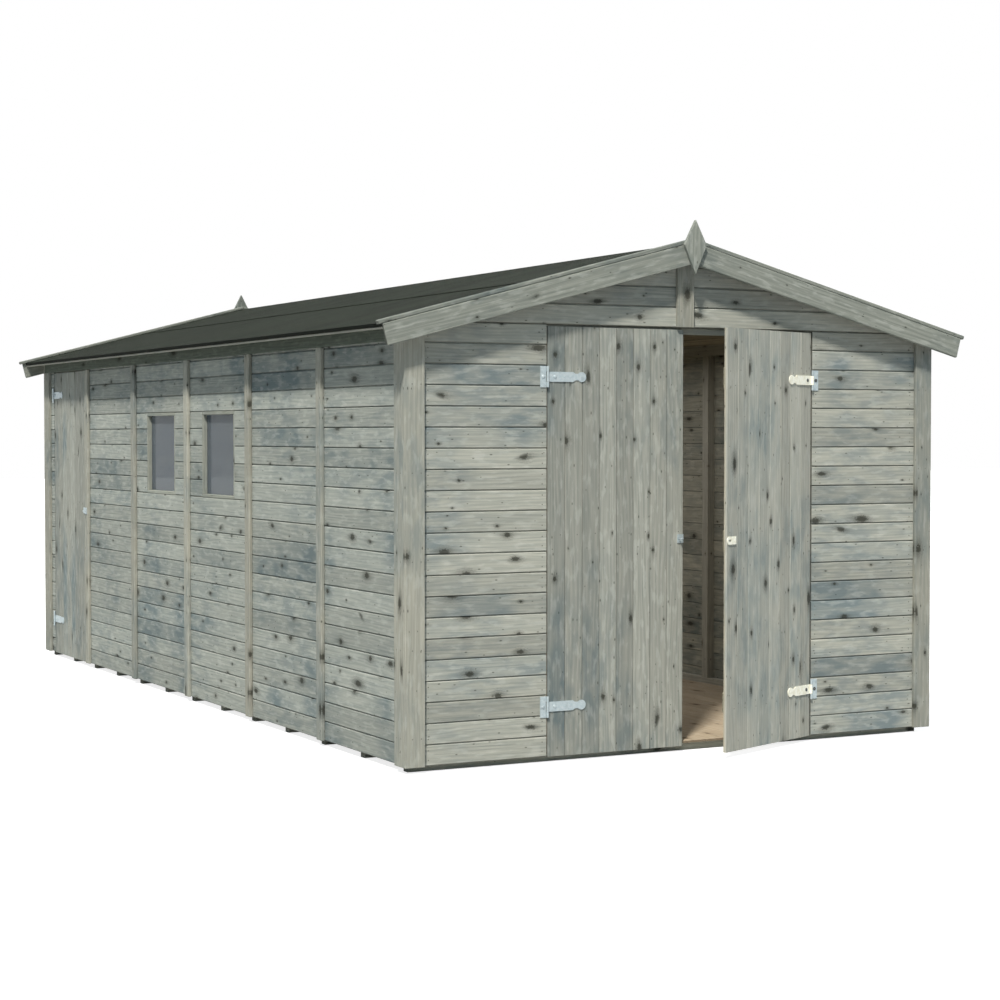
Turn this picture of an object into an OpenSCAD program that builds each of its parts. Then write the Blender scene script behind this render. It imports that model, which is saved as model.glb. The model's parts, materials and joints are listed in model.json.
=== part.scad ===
// Wooden garden shed with an apex roof, a pair of front doors, a side door and two side windows.
// Front faces -Y, windows and side door are in the -X wall, the ground is at z = 0.

/* [Walls] */
// Width over the cladding, wall face to wall face
wall_w = 2940; // [2400:10:3600]
// Length over the cladding, front face to rear face
wall_l = 5900; // [4800:10:7200]
// Length of wall between the side doorway and the rear face
side_jamb_l = 173; // [170:1:400]
// Thickness of the wall boards and door boards
clad_t = 16; // [12:1:22]
// How far the cladding hangs below the floor surface
clad_drop = 21; // [10:1:30]
// Gap between neighbouring wall panels, behind the cover strips
panel_joint = 2; // [1:0.5:4]

/* [Framing] */
// Depth of the framing behind the cladding
frame_d = 45; // [36:1:60]
// Width of a plain post or rail
frame_w = 45; // [36:1:60]
// Width of the double post at a panel joint
joint_post_w = 60; // [50:1:66]
// Thickness of the sole plates on the floor
sole_t = 34; // [24:1:45]

/* [Floor] */
// Height of a floor joist
joist_h = 38; // [32:1:60]
// Width of a floor joist
joist_w = 45; // [36:1:60]
// Number of joists across the floor
joist_count = 13; // [9:2:17]
// Set-back of the first and last joist from the wall face
joist_setback = 48; // [40:1:80]
// Set-back of the joist ends from the side wall face
joist_inset = 24; // [23:1:60]
// Thickness of the floor boards
floor_t = 12; // [10:1:20]

/* [Roof] */
// Rise of the roof for each unit of run
slope_share = 0.261; // [0.22:0.001:0.30]
// Thickness of the roof boards
deck_t = 15; // [12:1:20]
// Overhang of the roof boards at the eaves, measured level
eave_overhang = 130; // [100:1:170]
// Overhang of the roof boards at each gable
verge_overhang = 66; // [50:1:90]
// Thickness of the roofing felt
felt_t = 3; // [2:0.5:5]
// Height of the felt turned down at the eaves
felt_lip_h = 16; // [10:1:25]
// Distance of the felt lap from the eaves, up the slope
felt_lap_at = 865; // [700:5:1000]
// Width of the felt lap
felt_lap_w = 75; // [50:1:100]
// Height of the batten under the eaves edge
batten_h = 10; // [8:1:25]
// Width of the batten under the eaves edge
batten_w = 35; // [25:1:50]
// Height of the ridge beam
ridge_h = 95; // [70:1:140]
// Width of the ridge beam and the purlins
ridge_w = 45; // [36:1:60]
// Height of a purlin
purlin_h = 70; // [50:1:95]
// Distance of the purlin from the ridge, down the slope
purlin_at = 820; // [700:5:900]

/* [Verge] */
// Width of a bargeboard
barge_w = 101; // [80:1:130]
// Thickness of a bargeboard
barge_t = 20; // [16:1:28]
// How far a bargeboard runs past the roof boards at the eaves
barge_past = 21; // [10:1:40]
// Thickness of the trim on top of a bargeboard
trim_t = 19; // [12:1:25]
// How far the trim laps on to the roof behind the bargeboard
trim_lap = 16; // [8:1:30]
// How far the trim runs past the bargeboard at the eaves
trim_past = 19; // [5:1:40]
// Gap at the mitre of the two bargeboards
mitre_gap = 2; // [1:0.5:4]
// Width of the finial
finial_w = 125; // [100:1:150]
// Height of the finial above its widest place
finial_head_h = 120; // [90:1:150]
// Height of the finial below its widest place
finial_tail_h = 140; // [100:1:170]
// Thickness of the finial
finial_t = 18; // [12:1:25]
// Height of the widest place of the finial above the roof boards' inner apex
finial_rise = 5; // [0:1:20]

/* [Cover strips] */
// Thickness of the cover strips and corner boards
strip_t = 19; // [14:1:25]
// Width of a cover strip on a side or rear wall
strip_w = 68; // [50:1:90]
// Width of a corner board
corner_w = 100; // [80:1:120]
// Width of the cover strip on a gable
gable_strip_w = 94; // [70:1:120]
// Height of the eaves rail below the top of the cladding
eaves_rail_h = 86; // [76:1:100]
// How far the eaves rail hangs below the head of the side doorway
rail_hang = 3; // [0:1:3]

/* [Doors] */
// Width of the front doorway
door_w = 1509; // [1300:1:1700]
// Gap around and between the door leaves
door_gap = 6; // [5:0.5:10]
// Gap over a door leaf
door_head_gap = 10; // [8:1:15]
// Height of the rail over the front doorway that the leaves close against
head_stop_h = 31; // [20:1:45]
// Height of the side door leaf
side_leaf_h = 1923; // [1700:1:2100]
// Width of the side door leaf
side_leaf_w = 764; // [600:1:900]
// Height of the rail over the side doorway
side_head_h = 45; // [30:1:60]
// Overlap of the side door leaf on the rail over it
side_head_lap = 18; // [10:1:25]
// Width of a ledge on the back of a leaf
ledge_w = 95; // [70:1:120]
// Thickness of a ledge or brace
ledge_t = 22; // [18:1:30]
// Set-back of a ledge from the edges of the leaf
ledge_inset = 20; // [10:1:50]
// Width of a brace, measured level
brace_w = 110; // [80:1:140]
// Angle at which the right front leaf stands open
rest_open = 22.5; // [0:0.5:90]

/* [Ironwork] */
// Distance of a hinge from the nearer end of a front leaf, and of a lower hinge on the side leaf
hinge_in = 234; // [150:1:400]
// Distance of the upper hinge from the top of the side leaf
side_hinge_in = 151; // [80:1:300]
// Thickness of the hinge plates and straps
hinge_t = 4; // [3:0.5:6]
// Width of a hinge plate, measured from the pin
plate_w = 37; // [30:1:60]
// Height of a hinge plate
plate_h = 99; // [80:1:120]
// Length of a hinge strap, measured from the pin
strap_l = 207; // [150:1:300]
// Height of a hinge strap
strap_h = 46; // [35:1:60]
// Height of a hinge strap at its waist
strap_waist = 30; // [16:1:36]
// Radius of the round end of a hinge strap
strap_end_r = 23; // [18:0.5:30]
// Radius of the hinge knuckle
knuckle_r = 6; // [5:0.5:8]
// Radius of the hinge pin
pin_r = 3; // [2:0.5:4]
// Clearance of the knuckle on the pin and between knuckles
knuckle_gap = 0.5; // [0.3:0.1:1]
// Radius of a screw hole
screw_r = 3; // [2:0.5:4]
// Radius of a bolt hole
bolt_r = 4; // [3:0.5:5]
// Distance of the bolt in a strap from the pin
bolt_in = 40; // [30:1:60]
// Distance of the hinge pin in front of the wall face
pin_out = 8; // [7:0.5:10]
// Height of the hasps above the ground
hasp_z = 1032; // [900:1:1200]
// Length of a hasp
hasp_l = 76; // [60:1:120]
// Height of a hasp
hasp_h = 38; // [30:1:50]
// Length of the slot in a hasp
slot_l = 26; // [15:1:35]
// Width of the slot in a hasp
slot_w = 9; // [6:0.5:14]
// Width of a staple plate
staple_w = 33; // [28:1:50]
// Height of a staple plate
staple_h = 42; // [36:1:70]
// Reach of the staple loop in front of its plate
staple_reach = 16; // [12:1:24]
// Thickness of the staple loop
staple_rod = 5; // [4:0.5:6]
// Inner radius of the staple loop
staple_r = 6; // [5:0.5:7]

/* [Windows] */
// Width of a window opening
window_w = 520; // [400:1:600]
// Height of a window opening
window_h = 480; // [380:1:560]
// Height of a window opening above the lower edge of the cladding
window_at = 1152; // [1000:1:1250]
// Thickness of the window lining
lining_t = 18; // [12:1:25]
// Depth of the window lining
lining_d = 61; // [50:1:70]
// Set-back of the pane from the wall face
pane_in = 24; // [12:1:40]
// Thickness of the pane
pane_t = 4; // [3:0.5:6]

/* [Hidden] */
$fn = 48;
over = 1;
seat = 0.3;
bays = 6;
rear_bays = 3;
window_bays = [2, 3];
door_bay = 5;
half_w = wall_w / 2;
half_l = wall_l / 2;
floor_top = joist_h + floor_t;
clad_z = floor_top - clad_drop;
wall_h = side_leaf_h + door_head_gap + eaves_rail_h - rail_hang;
wall_top = clad_z + wall_h;
frame_in = clad_t + frame_d;
sole_top = floor_top + sole_t;
plate_z = wall_top - frame_w;
floor_inset = clad_t + door_gap;
joist_pitch = (wall_l - 2 * joist_setback - joist_w) / (joist_count - 1);
roof_a = atan(slope_share);
apex = wall_top + slope_share * half_w;
deck_apex = apex + seat / cos(roof_a);
slope_l = (half_w + eave_overhang) / cos(roof_a);
deck_l = wall_l + 2 * verge_overhang;
felt_l = deck_l - 2 * (trim_lap + seat);
felt_top = deck_t + felt_t;
barge_l = slope_l + barge_past;
trim_l = barge_l + trim_past;
barge_y = half_l + verge_overhang;
purlin_l = wall_l - 2 * frame_in;
eaves_rail_z = wall_top - eaves_rail_h;
leaf_w = (door_w - 3 * door_gap) / 2;
leaf_h = wall_h - door_head_gap;
side_door_w = side_leaf_w + 2 * door_gap;
door_bay_l = strip_w / 2 + side_door_w + side_jamb_l;
bay_l = (wall_l - door_bay_l) / (bays - 1);
side_y0 = door_bay * bay_l - half_l + strip_w / 2;
side_y1 = side_y0 + side_door_w;
side_door_top = clad_z + side_leaf_h + door_head_gap;
side_head_z = clad_z + side_leaf_h - side_head_lap;
hinge_rows = [clad_z + hinge_in, clad_z + leaf_h - hinge_in];
side_hinge_rows = [clad_z + hinge_in, clad_z + side_leaf_h - side_hinge_in];
window_z = clad_z + window_at;
shoulder_l = strap_l - 3 * strap_end_r;
waist_l = shoulder_l + strap_end_r / 2;
neck_l = waist_l + strap_end_r;
strap_screws = [strap_l - strap_end_r, (strap_l - strap_end_r) / 2];
wood = [0.64, 0.63, 0.57];
wood_pale = [0.72, 0.70, 0.62];
wood_dark = [0.55, 0.53, 0.46];
wood_inside = [0.66, 0.57, 0.44];
felt_grey = [0.27, 0.28, 0.26];
zinc = [0.74, 0.77, 0.78];
glass_blue = [0.55, 0.62, 0.66];

// Height of the underside of the roof boards at a distance from the middle
function under(d) = apex - slope_share * d;

// Middle of a side bay, counted from the front
function bay_mid(i) = (i + 0.5) * bay_l - half_l;

// Box between two corners
module span(a, b) {
  translate(a)
    cube(b - a);
}

// The same shape on both sides of the middle
module both_sides() {
  children();
  mirror([1, 0, 0])
    children();
}

// The same shape at the front and the rear
module both_ends() {
  children();
  mirror([0, 1, 0])
    children();
}

// Outline drawn in x and z, run along y and centred
module along(l) {
  rotate([90, 0, 0])
    linear_extrude(height = l, center = true)
      children();
}

// Frame of the right roof slope: x down the slope, z square to it
module slope() {
  translate([0, 0, deck_apex])
    rotate([0, roof_a, 0])
      children();
}

// Sheet on the right slope with a plumb cut at the ridge
module slope_sheet(z, t, l, cut = 0) {
  x0 = cut / cos(roof_a);
  polygon([[x0 - z * slope_share, z], [l, z], [l, z + t], [x0 - (z + t) * slope_share, z + t]]);
}

// Wall panel in a side wall, between two places along the wall
module side_panel(y0, y1, z0, z1) {
  span([-half_w, y0, z0], [clad_t - half_w, y1, z1]);
}

// Full-height panel of one side bay, with half a joint at each inner end
module bay_panel(i) {
  y0 = i == 0 ? clad_t + seat - half_l : i * bay_l - half_l + panel_joint / 2;
  y1 = i == bays - 1 ? half_l - clad_t - seat : (i + 1) * bay_l - half_l - panel_joint / 2;
  side_panel(y0, y1, clad_z, wall_top);
}

// Side bay panel with a window opening
module window_panel(i) {
  difference() {
    bay_panel(i);
    span([-half_w - over, bay_mid(i) - window_w / 2, window_z],
      [clad_t - half_w + over, bay_mid(i) + window_w / 2, window_z + window_h]);
  }
}

// Post in a side wall
module side_post(y0, y1) {
  span([clad_t - half_w, y0, sole_top], [frame_in - half_w, y1, plate_z]);
}

// Posts that both side walls have: the corners and the panel joints
module wall_posts() {
  side_post(clad_t - half_l, frame_in - half_l);
  side_post(half_l - frame_in, half_l - clad_t);
  for (i = [1 : bays - 1])
    side_post(i * bay_l - half_l - joint_post_w / 2, i * bay_l - half_l + joint_post_w / 2);
}

// Gable above the level of the eaves, one half on each side of the middle joint
module gable_cladding() {
  both_sides()
    translate([0, clad_t / 2 - half_l, 0])
      along(clad_t)
        polygon([[panel_joint / 2, wall_top], [half_w, wall_top], [panel_joint / 2, under(panel_joint / 2)]]);
}

// Sloping rails of a gable, under the roof boards and above its level rail
module gable_rafters() {
  z = wall_top + frame_w + panel_joint;
  drop = frame_w / cos(roof_a);
  head = panel_joint / 2;
  foot = (apex - z) / slope_share;
  both_sides()
    translate([0, clad_t + frame_d / 2 - half_l, 0])
      along(frame_d)
        polygon([[head, under(head) - drop], [head, under(head)], [foot, z], [foot - drop / slope_share, z]]);
}

// Board with its top cut to the roof slope, on the front wall
module corner_board() {
  x0 = half_w + strip_t - corner_w;
  x1 = half_w + strip_t;
  both_sides()
    translate([0, -half_l - strip_t / 2, 0])
      along(strip_t)
        polygon([[x0, clad_z], [x1, clad_z], [x1, under(x1)], [x0, under(x0)]]);
}

// Cover strips on the inner panel joints of a side wall, with boards at both corners
module side_strip(y0, y1) {
  span([-half_w - strip_t, y0, clad_z], [-half_w, y1, eaves_rail_z]);
}

// Bargeboards of one gable
module end_bargeboards() {
  both_sides()
    slope()
      translate([0, -barge_y - barge_t / 2, 0])
        along(barge_t)
          slope_sheet(felt_top - barge_w, barge_w, barge_l, mitre_gap / 2);
}

// Lower felt strip of the right slope, turned down over the eaves
module lower_felt() {
  slope()
    along(felt_l)
      union() {
        x0 = slope_l - felt_lap_at - felt_lap_w;
        translate([x0, deck_t])
          square([slope_l + felt_t - x0, felt_t]);
        translate([slope_l, felt_top - felt_lip_h])
          square([felt_t, felt_lip_h]);
      }
}

// Place on the right slope, as distance from the middle and height
function on_slope(x, z) = [x * cos(roof_a) + z * sin(roof_a), deck_apex - x * sin(roof_a) + z * cos(roof_a)];

// Outline of a hinge strap: parallel from the pin, then a waist and a round end
module strap_outline() {
  difference() {
    union() {
      polygon([
        [0, -strap_h / 2], [shoulder_l, -strap_h / 2], [waist_l, -strap_waist / 2], [neck_l, -strap_waist / 2],
        [neck_l, strap_waist / 2], [waist_l, strap_waist / 2], [shoulder_l, strap_h / 2], [0, strap_h / 2]
      ]);
      translate([strap_l - strap_end_r, 0])
        circle(r = strap_end_r);
    }
    for (u = strap_screws)
      translate([u, 0])
        circle(r = screw_r);
    translate([bolt_in, 0])
      circle(r = bolt_r);
  }
}

// Moving half of a hinge, pin at the origin, leaf towards +x
module hinge_strap() {
  difference() {
    union() {
      translate([0, pin_out, 0])
        rotate([90, 0, 0])
          linear_extrude(height = hinge_t)
            strap_outline();
      cylinder(r = knuckle_r, h = strap_h - 4 * knuckle_gap, center = true);
    }
    cylinder(r = pin_r + knuckle_gap, h = strap_h + over, center = true);
  }
}

// Fixed half of a hinge with its pin, wall towards -x
module hinge_plate() {
  notch = strap_h + 2 * knuckle_gap;
  end_h = (plate_h - notch) / 2;
  slot = knuckle_r + 2 * knuckle_gap;
  translate([0, pin_out, 0])
    rotate([90, 0, 0])
      linear_extrude(height = hinge_t)
        difference() {
          translate([-plate_w, -plate_h / 2])
            square([plate_w, plate_h]);
          translate([-slot, -notch / 2])
            square([slot + over, notch]);
          for (v = [-1, 1]) {
            translate([-plate_w / 3, v * (plate_h / 2 - 3 * screw_r)])
              circle(r = screw_r);
            translate([-2 * plate_w / 3, v * (notch / 2 + 2 * screw_r)])
              circle(r = screw_r);
          }
          translate([-(plate_w + slot) / 2, 0])
            circle(r = bolt_r);
        }
  for (v = [-1, 1])
    translate([0, 0, v * (notch + end_h) / 2])
      cylinder(r = knuckle_r, h = end_h, center = true);
  cylinder(r = pin_r, h = plate_h, center = true);
}

// Both hinges of a leaf
module hinge_pair(rows) {
  for (z = rows)
    translate([0, 0, z])
      children();
}

// Boards of a leaf, pin at the origin, leaf towards +x
module leaf(w, h) {
  span([door_gap / 2, pin_out, clad_z], [door_gap / 2 + w, pin_out + clad_t, clad_z + h]);
}

// Heights of the ledges: behind both hinges and midway
function ledge_rows(rows) = [rows[0], (rows[0] + rows[1]) / 2, rows[1]];

// Ledges on the back of a leaf
module ledges(w, hinges) {
  x0 = door_gap / 2 + ledge_inset;
  translate([0, pin_out + clad_t + ledge_t / 2, 0])
    along(ledge_t)
      for (z = ledge_rows(hinges))
        translate([x0, z - ledge_w / 2])
          square([w - 2 * ledge_inset, ledge_w]);
}

// Braces between the ledges, rising from the hinge side
module braces(w, hinges) {
  x0 = door_gap / 2 + ledge_inset;
  x1 = x0 + w - 2 * ledge_inset;
  rows = ledge_rows(hinges);
  translate([0, pin_out + clad_t + ledge_t / 2, 0])
    along(ledge_t)
      for (i = [0, 1]) {
        z0 = rows[i] + ledge_w / 2;
        z1 = rows[i + 1] - ledge_w / 2;
        polygon([[x0, z0], [x0 + brace_w, z0], [x1, z1], [x1 - brace_w, z1]]);
      }
}

// Hasp on the outer face of a leaf, ending at the free edge
module hasp(w) {
  x1 = door_gap / 2 + w;
  translate([x1 - hasp_l, pin_out, hasp_z])
    rotate([90, 0, 0])
      linear_extrude(height = hinge_t)
        difference() {
          union() {
            translate([0, -hasp_h / 2])
              square([hasp_l - hasp_h / 2, hasp_h]);
            translate([hasp_l - hasp_h / 2, 0])
              circle(r = hasp_h / 2);
          }
          translate([hasp_l / 2, -slot_w / 2])
            square([slot_l, slot_w]);
          for (v = [-1, 1])
            translate([3 * screw_r, v * hasp_h / 4])
              circle(r = screw_r);
        }
}

// Staple plate with its loop, middle of the plate at the origin, outer face towards -y
module staple() {
  rotate([90, 0, 0])
    linear_extrude(height = hinge_t)
      difference() {
        translate([-staple_w / 2, -staple_h / 2])
          square([staple_w, staple_h]);
        for (v = [-1, 1])
          for (u = [-1, 1])
            translate([u * staple_w / 3, v * (staple_h / 2 - 3 * screw_r)])
              circle(r = screw_r);
      }
  leg = staple_reach - staple_r;
  r = staple_r + staple_rod;
  translate([0, -hinge_t - leg, 0])
    linear_extrude(height = staple_rod, center = true)
      difference() {
        union() {
          circle(r = r);
          translate([-r, 0])
            square([2 * r, leg]);
        }
        circle(r = staple_r);
        translate([-staple_r, 0])
          square([2 * staple_r, leg + over]);
        translate([-r, leg])
          square([2 * r, r]);
      }
}

// Place of the left front leaf's pin
module at_front_left() {
  translate([(door_gap - door_w) / 2, -half_l - pin_out, 0])
    children();
}

// Place of the right front leaf's pin, leaf closed
module at_front_right() {
  mirror([1, 0, 0])
    at_front_left()
      children();
}

// Place of the right front leaf's pin, leaf as it stands open
module open_front_right() {
  mirror([1, 0, 0])
    at_front_left()
      rotate([0, 0, -rest_open])
        children();
}

// Place of the side leaf's pin
module at_side() {
  translate([-half_w - pin_out, side_y1 - door_gap / 2, 0])
    rotate([0, 0, -90])
      children();
}

module floor_joists() {
  color(wood_dark)
    for (i = [0 : joist_count - 1]) {
      y0 = joist_setback - half_l + i * joist_pitch;
      span([joist_inset - half_w, y0, 0], [half_w - joist_inset, y0 + joist_w, joist_h]);
    }
}

module floor_boards() {
  color(wood_inside)
    span([floor_inset - half_w, floor_inset - half_l, joist_h],
      [half_w - floor_inset, half_l - floor_inset, floor_top]);
}

module sole_plates() {
  x0 = floor_inset - half_w;
  x1 = frame_in - half_w;
  end_x = half_w - frame_in - panel_joint;
  color(wood_inside) {
    span([x0, floor_inset - half_l, floor_top], [x1, side_y0 - panel_joint, sole_top]);
    span([x0, side_y1 + panel_joint, floor_top], [x1, half_l - floor_inset, sole_top]);
    span([-x1, floor_inset - half_l, floor_top], [-x0, half_l - floor_inset, sole_top]);
    span([-end_x, half_l - frame_in, floor_top], [end_x, half_l - floor_inset, sole_top]);
    both_sides()
      span([-end_x, floor_inset - half_l, floor_top], [-door_w / 2, frame_in - half_l, sole_top]);
  }
}

module front_panels() {
  color(wood)
    both_sides()
      span([-half_w, -half_l, clad_z], [-door_w / 2, clad_t - half_l, wall_top]);
}

module gables() {
  color(wood)
    both_ends()
      gable_cladding();
}

module rear_panels() {
  w = wall_w / rear_bays;
  color(wood)
    for (i = [0 : rear_bays - 1]) {
      x0 = i * w - half_w + (i == 0 ? 0 : panel_joint / 2);
      x1 = (i + 1) * w - half_w - (i == rear_bays - 1 ? 0 : panel_joint / 2);
      span([x0, half_l - clad_t, clad_z], [x1, half_l, wall_top]);
    }
}

module left_panels() {
  color(wood)
    for (i = [0 : bays - 1])
      if (i != door_bay && i != window_bays[0] && i != window_bays[1])
        bay_panel(i);
}

module window_panels() {
  color(wood)
    for (i = window_bays)
      window_panel(i);
}

module side_door_panels() {
  y_joint = door_bay * bay_l - half_l + panel_joint / 2;
  color(wood) {
    side_panel(y_joint, side_y0, clad_z, side_door_top - panel_joint);
    side_panel(side_y1, half_l - clad_t - seat, clad_z, side_door_top - panel_joint);
    side_panel(y_joint, half_l - clad_t - seat, side_door_top, wall_top);
  }
}

module right_panels() {
  color(wood)
    mirror([1, 0, 0])
      for (i = [0 : bays - 1])
        bay_panel(i);
}

module side_posts() {
  color(wood_inside) {
    both_sides()
      wall_posts();
    for (i = window_bays) {
      side_post(bay_mid(i) - window_w / 2 - frame_w, bay_mid(i) - window_w / 2);
      side_post(bay_mid(i) + window_w / 2, bay_mid(i) + window_w / 2 + frame_w);
    }
    side_post(side_y1, side_y1 + frame_w);
  }
}

// Full-height post behind an end wall
module end_post(x0, x1) {
  span([x0, clad_t - half_l, sole_top], [x1, frame_in - half_l, wall_top]);
}

module end_posts() {
  x = wall_w / rear_bays / 2;
  color(wood_inside) {
    both_sides()
      end_post(-door_w / 2 - frame_w, -door_w / 2);
    mirror([0, 1, 0])
      both_sides()
        end_post(-x - joint_post_w / 2, joint_post_w / 2 - x);
    both_ends()
      gable_rafters();
  }
}

// Level rail of a gable, with its ends cut to the roof slope
module gable_rail() {
  foot = half_w - frame_in - panel_joint;
  z = wall_top + frame_w;
  top = (apex - z) / slope_share;
  translate([0, clad_t + frame_d / 2 - half_l, 0])
    along(frame_d)
      polygon([[-foot, wall_top], [foot, wall_top], [foot, under(foot)], [top, z], [-top, z], [-foot, under(foot)]]);
}

module end_rails() {
  color(wood_inside) {
    both_ends()
      gable_rail();
    span([-door_w / 2, floor_inset - half_l, wall_top - head_stop_h],
      [door_w / 2, frame_in - half_l, wall_top - panel_joint]);
  }
}

module opening_rails() {
  x0 = clad_t - half_w;
  x1 = frame_in - half_w;
  color(wood_inside) {
    for (i = window_bays) {
      y0 = bay_mid(i) - window_w / 2;
      y1 = bay_mid(i) + window_w / 2;
      span([x0, y0, window_z - frame_w], [x1, y1, window_z]);
      span([x0, y0, window_z + window_h], [x1, y1, window_z + window_h + frame_w]);
    }
    span([floor_inset - half_w, side_y0, side_head_z], [x1, side_y1, side_head_z + side_head_h]);
  }
}

module wall_plates() {
  x0 = half_w - frame_in;
  x1 = half_w - clad_t;
  color(wood_inside)
    both_sides()
      along(wall_l - 2 * clad_t)
        polygon([[x0, plate_z], [x1, plate_z], [x1, under(x1)], [x0, under(x0)]]);
}

module window_linings() {
  color(wood_pale)
    for (i = window_bays)
      translate([-half_w, bay_mid(i), window_z + window_h / 2])
        difference() {
          span([0, -window_w / 2, -window_h / 2], [lining_d, window_w / 2, window_h / 2]);
          span([-over, lining_t - window_w / 2, lining_t - window_h / 2],
            [lining_d + over, window_w / 2 - lining_t, window_h / 2 - lining_t]);
        }
}

module window_panes() {
  color(glass_blue)
    for (i = window_bays)
      translate([pane_in - half_w, bay_mid(i), window_z + window_h / 2])
        span([0, lining_t - window_w / 2, lining_t - window_h / 2],
          [pane_t, window_w / 2 - lining_t, window_h / 2 - lining_t]);
}

module end_corner_boards() {
  color(wood_pale)
    both_ends()
      corner_board();
}

module side_corner_boards() {
  color(wood_pale)
    both_sides()
      both_ends()
        side_strip(-half_l, corner_w - half_l);
}

module side_cover_strips() {
  color(wood_pale)
    both_sides()
      for (i = [1 : bays - 1])
        side_strip(i * bay_l - half_l - strip_w / 2, i * bay_l - half_l + strip_w / 2);
}

module rear_cover_strips() {
  x = wall_w / rear_bays / 2;
  color(wood_pale)
    both_sides()
      span([-x - strip_w / 2, half_l, clad_z], [strip_w / 2 - x, half_l + strip_t, wall_top]);
}

module gable_strips() {
  x = gable_strip_w / 2;
  color(wood_pale)
    both_ends()
      translate([0, -half_l - strip_t / 2, 0])
        along(strip_t)
          polygon([[-x, wall_top], [x, wall_top], [x, under(x)], [0, apex], [-x, under(x)]]);
}

module eaves_rails() {
  x1 = half_w + strip_t;
  color(wood_dark)
    both_sides()
      span([-x1, -half_l, eaves_rail_z], [-half_w, half_l, under(x1)]);
}

module roof_deck_right() {
  color(wood_dark)
    slope()
      along(deck_l)
        slope_sheet(0, deck_t, slope_l);
}

module roof_deck_left() {
  color(wood_dark)
    mirror([1, 0, 0])
      slope()
        along(deck_l)
          slope_sheet(0, deck_t, slope_l);
}

module ridge_beam() {
  x = ridge_w / 2;
  color(wood_inside)
    along(purlin_l)
      polygon([[-x, apex - ridge_h], [x, apex - ridge_h], [x, under(x)], [0, apex], [-x, under(x)]]);
}

module purlins() {
  color(wood_inside)
    both_sides()
      slope()
        translate([purlin_at, 0, -purlin_h])
          along(purlin_l)
            square([ridge_w, purlin_h]);
}

module eaves_battens() {
  color(wood_pale)
    both_sides()
      slope()
        translate([slope_l - batten_w, 0, -batten_h])
          along(deck_l)
            square([batten_w, batten_h]);
}

module felt_right() {
  color(felt_grey)
    lower_felt();
}

module felt_left() {
  color(felt_grey)
    mirror([1, 0, 0])
      lower_felt();
}

module felt_ridge() {
  lap0 = slope_l - felt_lap_at - felt_lap_w - seat;
  lap1 = slope_l - felt_lap_at;
  base = deck_t + seat;
  top = base + felt_t;
  lap_top = top + felt_t;
  half = [on_slope(lap0 - felt_lap_w, top), on_slope(lap0 - felt_t, lap_top), on_slope(lap1, lap_top),
    on_slope(lap1, top), on_slope(lap0, top), on_slope(lap0, base)];
  other = [for (i = [len(half) - 1 : -1 : 0]) [-half[i][0], half[i][1]]];
  color(felt_grey)
    along(felt_l)
      polygon(concat([[0, deck_apex + top / cos(roof_a)]], half, [[0, deck_apex + base / cos(roof_a)]], other));
}

module bargeboards() {
  color(wood_pale)
    both_ends()
      end_bargeboards();
}

module verge_trims() {
  d = barge_t + trim_lap;
  color(wood_pale)
    both_ends()
      both_sides()
        slope()
          translate([0, trim_lap - d / 2 - barge_y, 0])
            along(d)
              slope_sheet(felt_top, trim_t, trim_l, mitre_gap / 2);
}

module finials() {
  color(wood_pale)
    both_ends()
      translate([0, -barge_y - barge_t - finial_t / 2, apex + finial_rise])
        along(finial_t)
          polygon([[0, -finial_tail_h], [finial_w / 2, 0], [0, finial_head_h], [-finial_w / 2, 0]]);
}

module hinge_plates() {
  color(zinc) {
    at_front_left()
      hinge_pair(hinge_rows)
        hinge_plate();
    at_front_right()
      hinge_pair(hinge_rows)
        hinge_plate();
    at_side()
      hinge_pair(side_hinge_rows)
        hinge_plate();
  }
}

module side_staple() {
  color(zinc)
    translate([-half_w - strip_t, side_y0 - strip_w / 2, hasp_z])
      rotate([0, 0, -90])
        staple();
}

module front_left_leaf() {
  color(wood)
    at_front_left()
      leaf(leaf_w, leaf_h);
}

module front_left_ledges() {
  color(wood_inside)
    at_front_left()
      ledges(leaf_w, hinge_rows);
}

module front_left_braces() {
  color(wood_inside)
    at_front_left()
      braces(leaf_w, hinge_rows);
}

module front_left_ironwork() {
  color(zinc)
    at_front_left() {
      hinge_pair(hinge_rows)
        hinge_strap();
      translate([door_gap / 2 + leaf_w - staple_w / 2, pin_out, hasp_z])
        staple();
    }
}

module front_right_leaf() {
  color(wood)
    open_front_right()
      leaf(leaf_w, leaf_h);
}

module front_right_ledges() {
  color(wood_inside)
    open_front_right()
      ledges(leaf_w, hinge_rows);
}

module front_right_braces() {
  color(wood_inside)
    open_front_right()
      braces(leaf_w, hinge_rows);
}

module front_right_ironwork() {
  color(zinc)
    open_front_right() {
      hinge_pair(hinge_rows)
        hinge_strap();
      hasp(leaf_w);
    }
}

module side_leaf() {
  color(wood)
    at_side()
      leaf(side_leaf_w, side_leaf_h);
}

module side_ledges() {
  color(wood_inside)
    at_side()
      ledges(side_leaf_w, side_hinge_rows);
}

module side_braces() {
  color(wood_inside)
    at_side()
      braces(side_leaf_w, side_hinge_rows);
}

module side_ironwork() {
  color(zinc)
    at_side() {
      hinge_pair(side_hinge_rows)
        hinge_strap();
      hasp(side_leaf_w);
    }
}

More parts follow.
